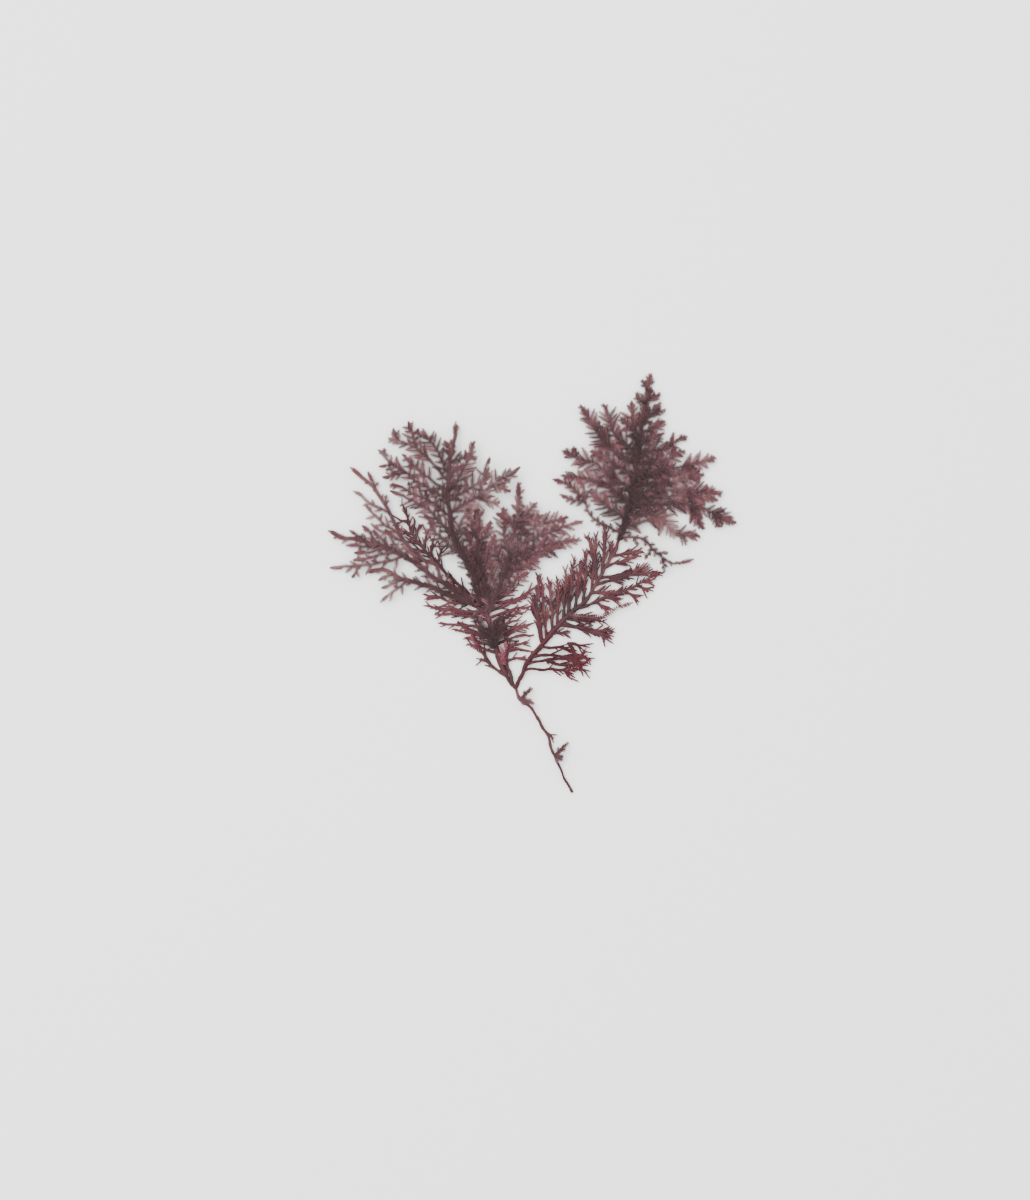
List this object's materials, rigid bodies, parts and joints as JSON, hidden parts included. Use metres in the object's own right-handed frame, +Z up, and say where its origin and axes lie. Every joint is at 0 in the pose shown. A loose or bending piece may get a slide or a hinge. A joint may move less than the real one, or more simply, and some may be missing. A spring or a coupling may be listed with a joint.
{
  "type": "pressed red seaweed",
  "caption": "Pressed, dried red seaweed lying flat: a wiry forked host stem with fine feathery fronds growing on it.",
  "frame": {"origin": "on the flat underside of the host stem, where it forks", "axes": "+Z up, out of the surface the plant lies on; +Y from the cut end of the stem towards the fronds; +X towards the taller plume"},
  "size_m": [0.1168, 0.1202, 0.0044],
  "materials": {
    "host": "dry, horny red-brown thallus with a faint sheen",
    "crimson": "dry, thin crimson blades with a faint sheen",
    "frond": "dry, matt purple-brown feathery branchlets, paler at the tips",
    "rose": "dry, matt rose branchlets"
  },
  "bodies": {
    "root": {"host_stem": "host", "crimson_spray": "crimson", "left_plume": "frond", "middle_frond": "frond", "left_outer_frond": "frond", "right_plume": "frond", "stem_tuft": "frond", "tip_sprig": "frond", "upper_stem_sprig": "frond", "lower_stem_sprig": "frond", "left_rose_sprig": "rose", "right_rose_sprig": "rose"}
  },
  "joints": []
}
